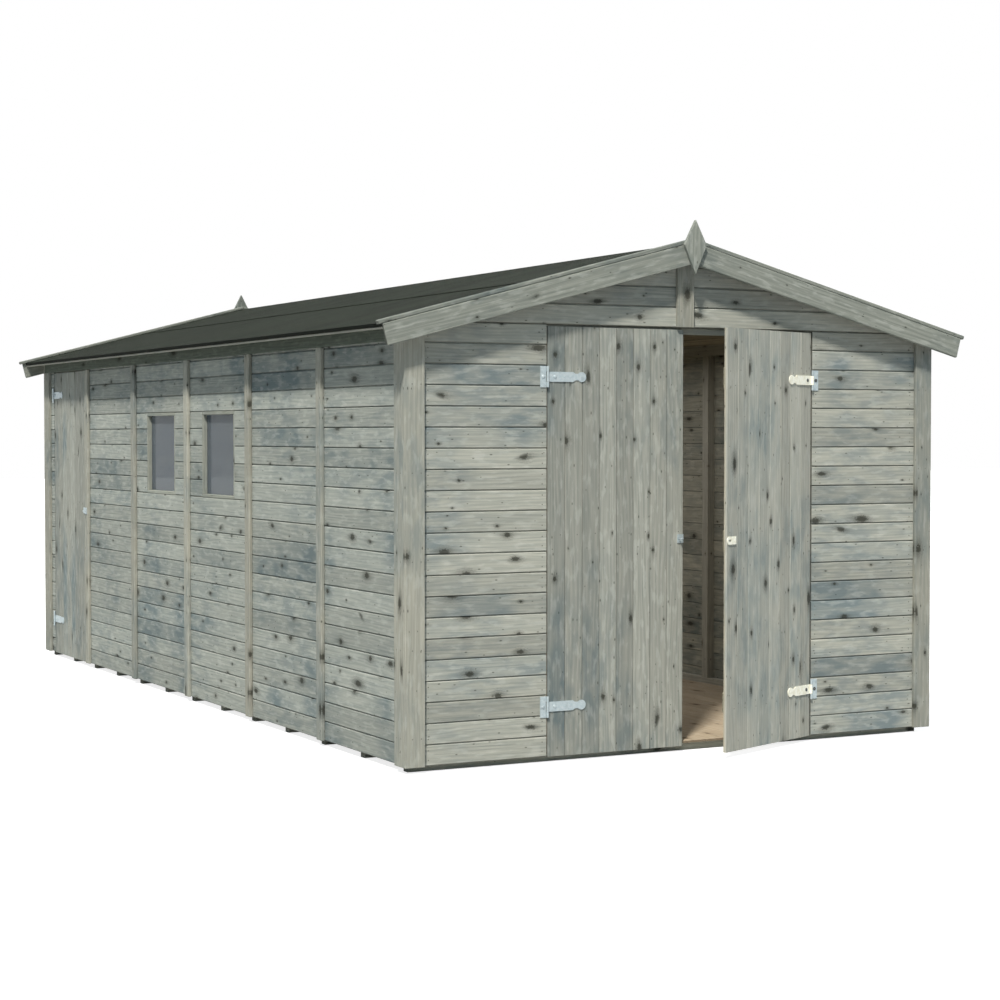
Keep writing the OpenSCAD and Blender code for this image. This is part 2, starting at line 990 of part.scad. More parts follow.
floor_joists();
floor_boards();
sole_plates();
front_panels();
rear_panels();
gables();
left_panels();
window_panels();
side_door_panels();
right_panels();
side_posts();
end_posts();
end_rails();
opening_rails();
wall_plates();
window_linings();
window_panes();
end_corner_boards();
side_corner_boards();
side_cover_strips();
rear_cover_strips();
gable_strips();
eaves_rails();
roof_deck_left();
roof_deck_right();
ridge_beam();
purlins();
eaves_battens();
felt_left();
felt_right();
felt_ridge();
bargeboards();
verge_trims();
finials();
hinge_plates();
side_staple();
front_left_leaf();
front_left_ledges();
front_left_braces();
front_left_ironwork();
front_right_leaf();
front_right_ledges();
front_right_braces();
front_right_ironwork();
side_leaf();
side_ledges();
side_braces();
side_ironwork();
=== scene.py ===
import json
import math
import random

import bmesh
import bpy
from mathutils import Matrix, Vector


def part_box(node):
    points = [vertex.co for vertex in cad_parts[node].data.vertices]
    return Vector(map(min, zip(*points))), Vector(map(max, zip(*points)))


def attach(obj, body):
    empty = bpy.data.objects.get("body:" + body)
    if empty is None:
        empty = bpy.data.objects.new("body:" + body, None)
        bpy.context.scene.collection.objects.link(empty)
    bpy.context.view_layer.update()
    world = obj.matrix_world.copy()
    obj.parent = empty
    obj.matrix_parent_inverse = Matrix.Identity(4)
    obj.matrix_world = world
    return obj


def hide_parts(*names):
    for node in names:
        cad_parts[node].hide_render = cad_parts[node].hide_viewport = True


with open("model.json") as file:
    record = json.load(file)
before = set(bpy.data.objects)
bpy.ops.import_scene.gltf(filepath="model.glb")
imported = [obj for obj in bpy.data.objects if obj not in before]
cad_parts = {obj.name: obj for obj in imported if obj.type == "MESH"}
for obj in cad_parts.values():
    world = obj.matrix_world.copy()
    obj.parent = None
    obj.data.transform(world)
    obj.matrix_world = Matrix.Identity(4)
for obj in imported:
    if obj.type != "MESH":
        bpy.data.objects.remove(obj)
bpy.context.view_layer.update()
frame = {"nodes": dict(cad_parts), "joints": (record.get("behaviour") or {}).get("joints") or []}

# Camera, standing off the front left corner at about head height.
# A long lens, nearly level, as in a catalogue view of a building.
TILT_DOWN, TURN_RIGHT = 1.780, 27.621
lens = bpy.data.cameras.new("camera")
lens.sensor_width = 36
lens.lens = 75.70
camera = bpy.data.objects.new("camera", lens)
camera.location = (-5.476, -11.508, 1.532)
camera.rotation_euler = (math.radians(90 - TILT_DOWN), 0, math.radians(-TURN_RIGHT))
bpy.context.scene.collection.objects.link(camera)
bpy.context.scene.camera = camera

# Floor joists: sawn, pressure treated softwood bearers across the width.
# They carry the whole shed, so their ends show as dark blocks under the side walls.
# The timber finish and the way a board is cut are set out here, for all the woodwork.


def tone(r, g, b):
    """A colour in display values from 0 to 255."""
    return tuple(c / 3294.6 if c <= 10 else ((c / 255 + 0.055) / 1.055) ** 2.4 for c in (r, g, b)) + (1.0,)


def feed(tree, node, inputs):
    """Links or sets a node's inputs."""
    for key, value in inputs.items():
        if isinstance(value, bpy.types.NodeSocket):
            tree.links.new(value, node.inputs[key])
        else:
            node.inputs[key].default_value = value


def put(tree, kind, inputs=None, **settings):
    """A node with its settings and its inputs."""
    node = tree.nodes.new(kind)
    for name, value in settings.items():
        setattr(node, name, value)
    feed(tree, node, inputs or {})
    return node


def sums(tree, how, a, b=0.0):
    """The result of one Math node."""
    return put(tree, "ShaderNodeMath", {0: a, 1: b}, operation=how).outputs[0]


def times(tree, a, b):
    """One value times another."""
    return sums(tree, "MULTIPLY", a, b)


def plus(tree, a, b):
    """One value added to another."""
    return sums(tree, "ADD", a, b)


def squared(tree, a):
    """A value times itself."""
    return times(tree, a, a)


def fall_off(tree, value, rate):
    """One at zero, and ever less as the value grows."""
    return sums(tree, "EXPONENT", times(tree, value, -rate))


def spread(tree, value, low, high, out_low=0.0, out_high=1.0):
    """A value eased from one range to another and held at the ends."""
    ends = {"Value": value, "From Min": low, "From Max": high, "To Min": out_low, "To Max": out_high}
    return put(tree, "ShaderNodeMapRange", ends, interpolation_type="SMOOTHSTEP").outputs[0]


def tint(tree, how_much, a, b, how="MIX"):
    """Two colours mixed."""
    return put(tree, "ShaderNodeMix", {0: how_much, 6: a, 7: b}, data_type="RGBA", blend_type=how).outputs[2]


def split(tree, colour):
    """The three values that a colour holds."""
    return put(tree, "ShaderNodeSeparateColor", {0: colour}).outputs


def noise(tree, at, scale, detail=2.0):
    """Plain noise over a place."""
    return put(tree, "ShaderNodeTexNoise", {"Vector": at, "Scale": scale, "Detail": detail}).outputs[0]


def flat_place(tree, u, v, fine_u=1.0, fine_v=1.0):
    """A place on a flat map, drawn finer each way."""
    both = {0: times(tree, u, fine_u), 1: times(tree, v, fine_v)}
    return put(tree, "ShaderNodeCombineXYZ", both).outputs[0]


def streaks(tree, u, v, fine_u, fine_v, detail):
    """Noise drawn out along the grain."""
    look = {"Vector": flat_place(tree, u, v, fine_u, fine_v), "Scale": 1.0, "Detail": detail}
    return put(tree, "ShaderNodeTexNoise", look, noise_dimensions="2D").outputs[0]


softwood = bpy.data.node_groups.new("softwood", "ShaderNodeTree")
SOFTWOOD_SOCKETS = {
    "INPUT": {"Grain": "Vector", "Board": "Color", "Inside": "Float", "Pale": "Color", "Dark": "Color",
              "Weather": "Color", "Knot": "Color", "Weathering": "Float", "Knots": "Float",
              "Place": "Vector"},
    "OUTPUT": {"Color": "Color", "Roughness": "Float", "Height": "Float"},
}
for way, sockets in SOFTWOOD_SOCKETS.items():
    for name, kind in sockets.items():
        softwood.interface.new_socket(name, in_out=way, socket_type="NodeSocket" + kind)
given = softwood.nodes.new("NodeGroupInput").outputs
grain_u, grain_v = put(softwood, "ShaderNodeSeparateXYZ", {0: given["Grain"]}).outputs[:2]
board_shade, board_hue, end_grain_and_groove_shade = split(softwood, given["Board"])

# Each knot has a cell of its own, in metres along and across the grain, and fades before the cell's edge.
KNOT_CELL_U, KNOT_CELL_V = 0.26, 0.080
KNOT_SMALL, KNOT_LARGER, KNOT_FEW_LARGE = 0.0026, 0.0150, 1.7
KNOT_CORE, KNOT_RING, FLAME_LENGTH = (1.15, 0.60), (2.8, 0.6), 4.0
RAGGED_EDGE = (110.0, 170.0, 3.0)
cells = {"Vector": flat_place(softwood, grain_u, grain_v, 1 / KNOT_CELL_U, 1 / KNOT_CELL_V), "Scale": 1.0,
         "Randomness": 0.95}
knots = put(softwood, "ShaderNodeTexVoronoi", cells, voronoi_dimensions="2D").outputs
cell_edge = put(softwood, "ShaderNodeTexVoronoi", cells, voronoi_dimensions="2D", feature="DISTANCE_TO_EDGE")
heart_u, heart_v = put(softwood, "ShaderNodeSeparateXYZ", {0: knots["Position"]}).outputs[:2]
chance, size, slant = split(softwood, knots["Color"])
off_u = sums(softwood, "SUBTRACT", grain_u, times(softwood, heart_u, KNOT_CELL_U))
off_v = sums(softwood, "SUBTRACT", grain_v, times(softwood, heart_v, KNOT_CELL_V))
lean = plus(softwood, 0.15, times(softwood, slant, 0.6))
wide = times(softwood, sums(softwood, "POWER", size, KNOT_FEW_LARGE), KNOT_LARGER)
wide = plus(softwood, wide, KNOT_SMALL)
away = plus(softwood, times(softwood, squared(softwood, off_u), lean), squared(softwood, off_v))
away = sums(softwood, "DIVIDE", sums(softwood, "SQRT", away), wide)
there = sums(softwood, "LESS_THAN", chance, given["Knots"])
there = times(softwood, there, spread(softwood, cell_edge.outputs["Distance"], 0.01, 0.20))
ragged = streaks(softwood, grain_u, grain_v, *RAGGED_EDGE)
reach = times(softwood, away, plus(softwood, 0.40, times(softwood, ragged, 1.2)))
core = times(softwood, there, spread(softwood, reach, *KNOT_CORE))
ring = times(softwood, there, spread(softwood, reach, *KNOT_RING))
bend = times(softwood, there, fall_off(softwood, squared(softwood, away), 0.30))
flame_u = squared(softwood, sums(softwood, "DIVIDE", off_u, times(softwood, wide, FLAME_LENGTH)))
flame_v = squared(softwood, sums(softwood, "DIVIDE", off_v, wide))
flame = times(softwood, there, fall_off(softwood, plus(softwood, flame_u, flame_v), 0.7))

# Small dark specks lie between the knots.
SPECKS_A_METRE, SPECK_SHARE = (11.0, 26.0), 0.45
speck_at = {"Vector": flat_place(softwood, grain_u, grain_v, *SPECKS_A_METRE), "Scale": 1.0}
speck = put(softwood, "ShaderNodeTexVoronoi", speck_at, voronoi_dimensions="2D").outputs
speck_chance, speck_size = split(softwood, speck["Color"])[:2]
some = sums(softwood, "LESS_THAN", speck_chance, times(softwood, given["Knots"], SPECK_SHARE))
speck_edge = plus(softwood, 0.05, times(softwood, speck_size, 0.07))
specks = times(softwood, some, spread(softwood, speck["Distance"], speck_edge, 0.03))

# The grain bends round a knot. Fineness is in waves a metre, along and across, and then the detail.
FIBRE, BROAD_BAND, SLOW_BAND = (3.5, 330.0, 3.0), (2.2, 95.0, 4.0), (0.9, 7.0, 2.0)
YEARS_A_METRE, WANDER, FULL_TURN = 48.0, 5.0, 6.2832
bent_v = times(softwood, off_v, times(softwood, bend, 0.85))
bent_v = sums(softwood, "SUBTRACT", grain_v, bent_v)
slow = streaks(softwood, grain_u, bent_v, *SLOW_BAND)
fibre = streaks(softwood, grain_u, bent_v, *FIBRE)
broad = streaks(softwood, grain_u, bent_v, *BROAD_BAND)
years = plus(softwood, times(softwood, bent_v, YEARS_A_METRE), times(softwood, slow, WANDER))
years = sums(softwood, "SINE", times(softwood, years, FULL_TURN))
years = plus(softwood, 0.5, times(softwood, 0.5, years))
late = plus(softwood, times(softwood, fibre, 0.50), times(softwood, broad, 0.36))
late = spread(softwood, plus(softwood, times(softwood, years, 0.12), late), 0.20, 0.80)
paint = tint(softwood, late, given["Pale"], given["Dark"])

# Weather greys the wood in blotches, by board and in patches of the wall, and bleaches it in spots.
BLOTCH, BLEACH, BLEACHED = (6.0, 19.0, 6.0), (40.0, 11.0, 6.0), (212, 213, 206)
blotch = spread(softwood, streaks(softwood, grain_u, grain_v, *BLOTCH), 0.36, 0.68)
grey = plus(softwood, times(softwood, blotch, 0.42), times(softwood, squared(softwood, board_hue), 0.55))
patches = spread(softwood, noise(softwood, given["Place"], 1.9, 3.0), 0.38, 0.64, 0.15, 1.5)
grey = times(softwood, times(softwood, grey, patches), given["Weathering"])
paint = tint(softwood, grey, paint, given["Weather"])
bleach = spread(softwood, streaks(softwood, grain_v, grain_u, *BLEACH), 0.50, 0.70)
bleach = times(softwood, bleach, times(softwood, given["Weathering"], 0.235))
paint = tint(softwood, bleach, paint, tone(*BLEACHED))
shade = plus(softwood, 0.86, times(softwood, board_shade, 0.24))
shade = put(softwood, "ShaderNodeCombineColor", {0: shade, 1: shade, 2: shade}).outputs[0]
paint = tint(softwood, 1.0, paint, shade, "MULTIPLY")

# Knots, specks, end grain and painted shade on the lower groove faces go on last. The inner face stays
# warmer, and knots lie a little low.
WARM_INSIDE = (255, 248, 238)
flame = times(softwood, flame, plus(softwood, 0.04, times(softwood, fibre, 0.5)))
spots = times(softwood, sums(softwood, "MAXIMUM", core, times(softwood, specks, 0.9)), 0.74)
# The board's third mark darkens its end grain and paints shade on its lower groove faces.
for dark_part in (flame, times(softwood, ring, 0.34), spots, times(softwood, end_grain_and_groove_shade, 0.55)):
    paint = tint(softwood, dark_part, paint, given["Knot"])
warm = tint(softwood, 1.0, paint, tone(*WARM_INSIDE), "MULTIPLY")
paint = tint(softwood, given["Inside"], paint, warm)
raised = plus(softwood, times(softwood, late, 0.7), times(softwood, fibre, 0.5))
raised = sums(softwood, "SUBTRACT", raised, times(softwood, core, 0.8))
dryness = spread(softwood, fibre, 0.2, 0.8, 0.66, 0.86)
put(softwood, "NodeGroupOutput", {"Color": paint, "Height": raised, "Roughness": dryness})


def new_finish(name):
    """A new material, with its nodes and its shader."""
    made = bpy.data.materials.new(name)
    made.use_nodes = True
    return made, made.node_tree, made.node_tree.nodes["Principled BSDF"]


def object_place(tree):
    """The place on the object itself."""
    return put(tree, "ShaderNodeTexCoord").outputs["Object"]


def timber(name, pale, dark, weather, weathering, knots, knot=(48, 48, 41), grain=None):
    """A timber finish. Grain follows each board's own map, or runs along x, y or z on a plain solid."""
    made, tree, shader = new_finish(name)
    place = object_place(tree)
    look = {"Pale": tone(*pale), "Dark": tone(*dark), "Weather": tone(*weather), "Knot": tone(*knot),
            "Knots": knots, "Weathering": weathering, "Place": place}
    if grain is None:
        mark = put(tree, "ShaderNodeAttribute", attribute_name="board").outputs
        look["Grain"] = put(tree, "ShaderNodeUVMap", uv_map="grain").outputs[0]
        look["Board"], look["Inside"] = mark["Color"], mark["Alpha"]
    else:
        axes = list(put(tree, "ShaderNodeSeparateXYZ", {0: place}).outputs)
        run = axes.pop("xyz".index(grain))
        look["Grain"] = flat_place(tree, run, plus(tree, axes[0], axes[1]))
        look["Board"], look["Inside"] = (0.5, 0.4, 0.0, 1.0), 1.0
    wood = put(tree, "ShaderNodeGroup", node_tree=softwood)
    feed(tree, wood, look)
    relief = {"Height": wood.outputs["Height"], "Strength": 0.45, "Distance": 0.0012}
    bump = put(tree, "ShaderNodeBump", relief)
    feed(tree, shader, {"Base Color": wood.outputs["Color"], "Roughness": wood.outputs["Roughness"],
                        "Normal": bump.outputs[0], "Specular IOR Level": 0.04})
    return made


def faces_of(verts):
    """The faces that meet at some vertices."""
    return list({f for v in verts for f in v.link_faces})


EDGE_PART = 0.3


def mark_board(bm, faces, along, across, inward, luck, inside=None, groove=0.0):
    """Each board's own grain map, random shade, end grain, painted shade on its lower groove faces and
    unweathered back.
    """
    uv = bm.loops.layers.uv.get("grain") or bm.loops.layers.uv.new("grain")
    mark = bm.loops.layers.float_color.get("board") or bm.loops.layers.float_color.new("board")
    start_u, start_v = luck.uniform(0, 40), luck.uniform(0, 40)
    shade, hue = luck.random(), luck.random()
    depths = [v.co.dot(inward) for f in faces for v in f.verts]
    back = max(depths) - EDGE_PART * (max(depths) - min(depths))
    rises = [v.co.dot(across) for f in faces for v in f.verts]
    foot = min(rises) + EDGE_PART * (max(rises) - min(rises))
    for face in faces:
        face.normal_update()
        # The lower chamfer and edge of each board get the groove value, painted shade so the joint reads
        # dark beneath each board.
        under = abs(face.normal.dot(across)) > 0.5 and face.calc_center_median().dot(across) < foot
        end = 1.0 if abs(face.normal.dot(along)) > 0.9 else groove if under else 0.0
        rear = inside if inside is not None else float(face.calc_center_median().dot(inward) > back)
        for loop in face.loops:
            at = loop.vert.co
            loop[uv].uv = (start_u + at.dot(along), start_v + at.dot(across) + at.dot(inward))
            loop[mark] = (shade, hue, end, rear)


def ease_edges(bm, verts, ease):
    """Takes the sharp arrises off a board."""
    edges = list({e for v in verts for e in v.link_edges})
    return bmesh.ops.bevel(bm, geom=edges, offset=ease, segments=1, profile=0.5, affect="EDGES",
                           material=-1)["verts"]


def plank(bm, low, high, along, luck, ease=0.0018, inside=0.0, place=None):
    """A plain board between two corners, arrises eased, grain along one axis."""
    low, high = Vector(low), Vector(high)
    verts = bmesh.ops.create_cube(bm, size=1.0)["verts"]
    bmesh.ops.scale(bm, vec=high - low, verts=verts)
    bmesh.ops.translate(bm, vec=(high + low) / 2, verts=verts)
    verts = ease_edges(bm, verts, ease)
    axes = [Vector((1, 0, 0)), Vector((0, 1, 0)), Vector((0, 0, 1))]
    run = axes.pop("xyz".index(along))
    mark_board(bm, faces_of(verts), run, axes[0], axes[1], luck, inside)
    if place is not None:
        bmesh.ops.transform(bm, matrix=place, verts=verts)
    return verts


def saw(bm, verts, point, normal):
    """Cuts a board at a plane, drops what lies on the normal's side, and closes the end."""
    faces = faces_of(verts)
    geom = list(verts) + list({e for f in faces for e in f.edges}) + faces
    cut = bmesh.ops.bisect_plane(bm, geom=geom, dist=1e-6, plane_co=point, plane_no=normal, clear_outer=True)
    edges = [e for e in cut["geom_cut"] if isinstance(e, bmesh.types.BMEdge)]
    mark = bm.loops.layers.float_color["board"]
    for face in bmesh.ops.edgenet_fill(bm, edges=edges)["faces"]:
        beside = [f for e in face.edges for f in e.link_faces if f is not face]
        shade, hue, _, rear = beside[0].loops[0][mark]
        for loop in face.loops:
            loop[mark] = (shade, hue, 1.0, rear)


def piece(name, bm, body, material, slot, *stands_for):
    """Closes up a mesh, gives it its finish, and sets it on its body."""
    bmesh.ops.recalc_face_normals(bm, faces=bm.faces)
    mesh = bpy.data.meshes.new(name)
    bm.to_mesh(mesh)
    bm.free()
    mesh.materials.append(material)
    made = bpy.data.objects.new(name, mesh)
    bpy.context.scene.collection.objects.link(made)
    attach(made, body)
    if stands_for:
        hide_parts(*stands_for)


JOISTS, JOIST_W = 13, 0.045
joist_wood = timber("joist timber", (188, 188, 174), (150, 150, 138), (132, 140, 133), 0.6, 0.3)
low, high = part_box("floor_joists")
joists = bmesh.new()
luck = random.Random(11)
for i in range(JOISTS):
    y = low[1] + i * (high[1] - low[1] - JOIST_W) / (JOISTS - 1)
    plank(joists, (low[0], y, low[2]), (high[0], y + JOIST_W, high[2]), "x", luck)
piece("floor_bearers", joists, "shell", joist_wood, "frame_wood", "floor_joists")

# Floor: planed tongued boards laid along the shed and nailed to the joists.
# Warm and hardly weathered, seen through the open leaf.
FLOOR_ROWS, FLOOR_HALF_GAP, FLOOR_EASE = 29, 0.0004, 0.0012
floor_wood = timber("floor boards", (184, 170, 149), (154, 139, 117), (141, 131, 115), 0.35, 0.4,
                    (86, 71, 55))
low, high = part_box("floor_boards")
floor = bmesh.new()
luck = random.Random(12)
step = (high[0] - low[0]) / FLOOR_ROWS
for i in range(FLOOR_ROWS):
    x0, x1 = low[0] + i * step + FLOOR_HALF_GAP, low[0] + (i + 1) * step - FLOOR_HALF_GAP
    plank(floor, (x0, low[1], low[2]), (x1, high[1], high[2]), "y", luck, FLOOR_EASE)
piece("floor_planks", floor, "shell", floor_wood, "board_wood", "floor_boards")

# Framing behind the boards: sole plates, posts, gable rails, rails round the openings, wall plates,
# ridge beam and purlins. Planed softwood, nailed, and plainer than the boards since it stays dry.
FRAMING = {"z": ("side_posts", "end_posts"), "x": ("end_rails",),
           "y": ("sole_plates", "opening_rails", "wall_plates", "ridge_beam", "purlins")}


def coat(node, material):
    """A finish on a solid that is carried over as it is."""
    slots = frame["nodes"][node].data.materials
    slots.clear()
    slots.append(material)


for grain, names in FRAMING.items():
    framing = timber("framing " + grain, (180, 183, 178), (145, 148, 143), (135, 138, 134), 0.4, 0.3,
                     (82, 79, 72), grain)
    for name in names:
        coat(name, framing)

# Wall boards: pressure treated softwood shiplap, chamfered on both edges and lapped behind.
# They run level, one cover apart from the foot of the wall, and are nailed to the posts.
HALF_W, HALF_L, FOOT, COVER, THICK = 1.470, 2.950, 0.029, 0.096, 0.016
ROWS, BAYS, BAY, JOINT = 21, 6, 0.9834, 0.001
DOORWAY, REAR_PANELS, REAR_PANEL = 0.7545, 3, 0.98
# The groove value, times the width of the vee, is painted shade on each board's lower chamfer and edge.
REBATE, TONGUE, LAP_ROOM, GROOVE_SHADE = 0.009, 0.0085, 0.0003, 214
EAST, NORTH, UP = Vector((1, 0, 0)), Vector((0, 1, 0)), Vector((0, 0, 1))
cladding = timber("wall boards", (184, 182, 170), (145, 148, 140), (121, 131, 132), 0.85, 0.42)
# The side walls take a darker, bluer copy of the wall boards, as painted shade for the lesser light on them.
side_boards_painted_shade = timber("side wall boards painted shade", (174, 175, 166), (137, 143, 137), (113, 124, 125), 0.85, 0.42)


def thicken(bm, face, way):
    """A flat outline drawn out into a board. Gives the vertices of both ends."""
    ring = list(face.verts)
    out = bmesh.ops.extrude_face_region(bm, geom=[face])["geom"]
    moved = [v for v in out if isinstance(v, bmesh.types.BMVert)]
    bmesh.ops.translate(bm, vec=way, verts=moved)
    return ring + moved


def lay_board(bm, corner, along, across, inward, length, cover, luck, lap=True, thick=THICK, inside=None,
              vee=0.0035):
    """One lapped board with chamfered edges, from its lower outer corner."""
    half_gap = vee / 2
    low, high = half_gap, cover - half_gap
    heel, top = TONGUE + vee, cover + TONGUE if lap else high
    section = [(low + vee, 0), (high - vee, 0), (high, vee), (high, REBATE), (top, REBATE + LAP_ROOM),
               (top, thick), (heel, thick), (heel, REBATE), (low, REBATE), (low, vee)]
    if not lap:
        del section[4]
    corner = Vector(corner)
    ring = [bm.verts.new(corner + across * c + inward * d) for c, d in section]
    verts = thicken(bm, bm.faces.new(ring), along * length)
    mark_board(bm, faces_of(verts), along, across, inward, luck, inside, GROOVE_SHADE * vee)
    return verts


def lay_wall(bm, corner, along, inward, length, luck, first=0, last=ROWS, lap_last=False):
    """Level boards one above the other, counted from the foot of the wall."""
    for row in range(first, last):
        at = Vector(corner) + UP * (row * COVER)
        lay_board(bm, at, along, UP, inward, length, COVER, luck, row < last - 1 or lap_last)


def bay_ends(i):
    """Where a side panel starts and stops, clear of its neighbours and of the end walls."""
    start = i * BAY - HALF_L + (THICK if i == 0 else JOINT)
    stop = HALF_L - THICK if i == BAYS - 1 else (i + 1) * BAY - HALF_L - JOINT
    return start, stop


front = bmesh.new()
luck = random.Random(21)
for x in (-HALF_W, DOORWAY):
    lay_wall(front, (x, -HALF_L, FOOT), EAST, NORTH, HALF_W - DOORWAY, luck)
piece("front_boards", front, "shell", cladding, "cladding", "front_panels")

rear = bmesh.new()
luck = random.Random(22)
for i in range(1, REAR_PANELS + 1):
    x = i * REAR_PANEL - HALF_W - JOINT
    lay_wall(rear, (x, HALF_L, FOOT), -EAST, -NORTH, REAR_PANEL - 2 * JOINT, luck)
piece("rear_boards", rear, "shell", cladding, "cladding", "rear_panels")

right = bmesh.new()
luck = random.Random(23)
for i in range(BAYS):
    start, stop = bay_ends(i)
    lay_wall(right, (HALF_W, start, FOOT), NORTH, -EAST, stop - start, luck)
piece("right_boards", right, "shell", side_boards_painted_shade, "cladding", "right_panels")

left = bmesh.new()
luck = random.Random(24)
for i in (0, 1, 4):
    start, stop = bay_ends(i)
    lay_wall(left, (-HALF_W, stop, FOOT), -NORTH, EAST, stop - start, luck)
piece("left_boards", left, "shell", side_boards_painted_shade, "cladding", "left_panels")

# Window bays: the same boards, cut square at the sides of each opening.
# The opening is five boards high, so no board is ripped.
WINDOW_BAYS, WINDOW_W, SILL_ROW, HEAD_ROW = (2, 3), 0.520, 12, 17
window_bays = bmesh.new()
for i in WINDOW_BAYS:
    start, stop = bay_ends(i)
    side = (stop - start - WINDOW_W) / 2
    lay_wall(window_bays, (-HALF_W, stop, FOOT), -NORTH, EAST, stop - start, luck, 0, SILL_ROW)
    for y in (stop, start + side):
        lay_wall(window_bays, (-HALF_W, y, FOOT), -NORTH, EAST, side, luck, SILL_ROW, HEAD_ROW, True)
    lay_wall(window_bays, (-HALF_W, stop, FOOT), -NORTH, EAST, stop - start, luck, HEAD_ROW)
piece("window_bay_boards", window_bays, "shell", side_boards_painted_shade, "cladding", "window_panels")

# Side door bay: short boards beside the doorway and one over it, behind the eaves rail.
# The board at the head is ripped to the height of the opening.
SIDE_Y0, SIDE_Y1, SIDE_HEAD, HEAD_EASE, HEAD_GAP = 2.001, 2.777, 1.962, 0.001, 0.0018
EAVES = FOOT + ROWS * COVER
door_bay = bmesh.new()
start, stop = bay_ends(BAYS - 1)
for y0, y1 in ((start, SIDE_Y0), (SIDE_Y1, stop)):
    lay_wall(door_bay, (-HALF_W, y1, FOOT), -NORTH, EAST, y1 - y0, luck)
head_top = EAVES - HEAD_GAP
plank(door_bay, (-HALF_W, SIDE_Y0, SIDE_HEAD), (THICK - HALF_W, SIDE_Y1, head_top), "y", luck, HEAD_EASE)
piece("side_door_bay_boards", door_bay, "shell", side_boards_painted_shade, "cladding", "side_door_panels")

# Gables: boards above the level of the eaves, in two halves, sawn to the slope of the roof.
# A cover strip hides the joint between the halves.
SLOPE, GABLE_ROWS, SHORTEST, UNDER_ROOF = 0.261, range(ROWS, ROWS + 4), 0.05, 0.0005
PITCH = math.atan(SLOPE)
APEX = EAVES + SLOPE * HALF_W


def saw_to_roof(bm, verts, hand):
    """Cuts a board off under the slope of the roof."""
    saw(bm, verts, (0, 0, APEX - UNDER_ROOF), Vector((SLOPE * hand, 0, 1)).normalized())


gables = bmesh.new()
luck = random.Random(25)
for y, inward in ((-HALF_L, NORTH), (HALF_L, -NORTH)):
    for hand in (1, -1):
        for row in GABLE_ROWS:
            foot = FOOT + row * COVER
            run = (APEX - foot) / SLOPE - JOINT
            if run > SHORTEST:
                verts = lay_board(gables, (JOINT * hand, y, foot), EAST * hand, UP, inward, run, COVER, luck)
                saw_to_roof(gables, verts, hand)
piece("gable_boards", gables, "shell", cladding, "cladding", "gables")

# Windows: planed linings round each opening, with one fixed pane of clear glazing.
# The lining shows as a pale reveal, and the pane is set back from the wall face.
LINING_T, LINING_DEPTH = 0.018, 0.061
lining_wood = timber("window lining", (162, 163, 152), (134, 137, 128), (124, 131, 128), 0.5, 0.2)
linings = bmesh.new()
luck = random.Random(31)
foot, head = FOOT + SILL_ROW * COVER, FOOT + HEAD_ROW * COVER
x0, x1 = -HALF_W, LINING_DEPTH - HALF_W
for i in WINDOW_BAYS:
    mid = (i + 0.5) * BAY - HALF_L
    y0, y1 = mid - WINDOW_W / 2, mid + WINDOW_W / 2
    for z in (foot, head - LINING_T):
        plank(linings, (x0, y0, z), (x1, y1, z + LINING_T), "y", luck)
    for y in (y0, y1 - LINING_T):
        plank(linings, (x0, y, foot + LINING_T), (x1, y + LINING_T, head - LINING_T), "z", luck)
piece("window_reveals", linings, "shell", lining_wood, "trim_wood", "window_linings")

glazing, tree, shader = new_finish("glazing")
smear = noise(tree, object_place(tree), 5.0, 4.0)
feed(tree, shader, {"Base Color": tint(tree, smear, tone(134, 144, 154), tone(154, 161, 166)),
                    "Roughness": spread(tree, smear, 0.35, 0.75, 0.02, 0.10),
                    "Transmission Weight": 0.72, "IOR": 1.12})
coat("window_panes", glazing)

# Cover strips and corner boards: sawn boards nailed over the panel joints and the corners.
# Greyer and plainer than the wall boards, with the grain upright.
STRIP_T, STRIP_W, STRIP_EASE, CORNER_W, CORNER_SPARE = 0.019, 0.068, 0.003, 0.100, 0.03
REAR_STRIP_X, MIDDLE_HALF_W, RAIL_H = 0.49, 0.047, 0.086
STRIP_TOP = EAVES - RAIL_H
strip_wood = timber("cover strips", (176, 173, 160), (143, 143, 133), (123, 131, 129), 0.7, 0.42)
side_x = {hand: sorted((hand * HALF_W, hand * (HALF_W + STRIP_T))) for hand in (1, -1)}
end_y = ((-HALF_L - STRIP_T, -HALF_L), (HALF_L, HALF_L + STRIP_T))
corners = bmesh.new()
luck = random.Random(41)
for hand in (1, -1):
    x0, x1 = sorted((hand * (HALF_W + STRIP_T), hand * (HALF_W + STRIP_T - CORNER_W)))
    for y0, y1 in end_y:
        verts = plank(corners, (x0, y0, FOOT), (x1, y1, EAVES + CORNER_SPARE), "z", luck)
        saw_to_roof(corners, verts, hand)
piece("end_corner_planks", corners, "shell", strip_wood, "trim_wood", "end_corner_boards")

side_corners = bmesh.new()
for x0, x1 in side_x.values():
    for y in (-HALF_L, HALF_L - CORNER_W):
        plank(side_corners, (x0, y, FOOT), (x1, y + CORNER_W, STRIP_TOP), "z", luck)
piece("side_corner_planks", side_corners, "shell", strip_wood, "trim_wood", "side_corner_boards")

side_strips = bmesh.new()
for x0, x1 in side_x.values():
    for i in range(1, BAYS):
        y = i * BAY - HALF_L
        y0, y1 = y - STRIP_W / 2, y + STRIP_W / 2
        plank(side_strips, (x0, y0, FOOT), (x1, y1, STRIP_TOP), "z", luck, STRIP_EASE)
piece("side_strips", side_strips, "shell", strip_wood, "trim_wood", "side_cover_strips")

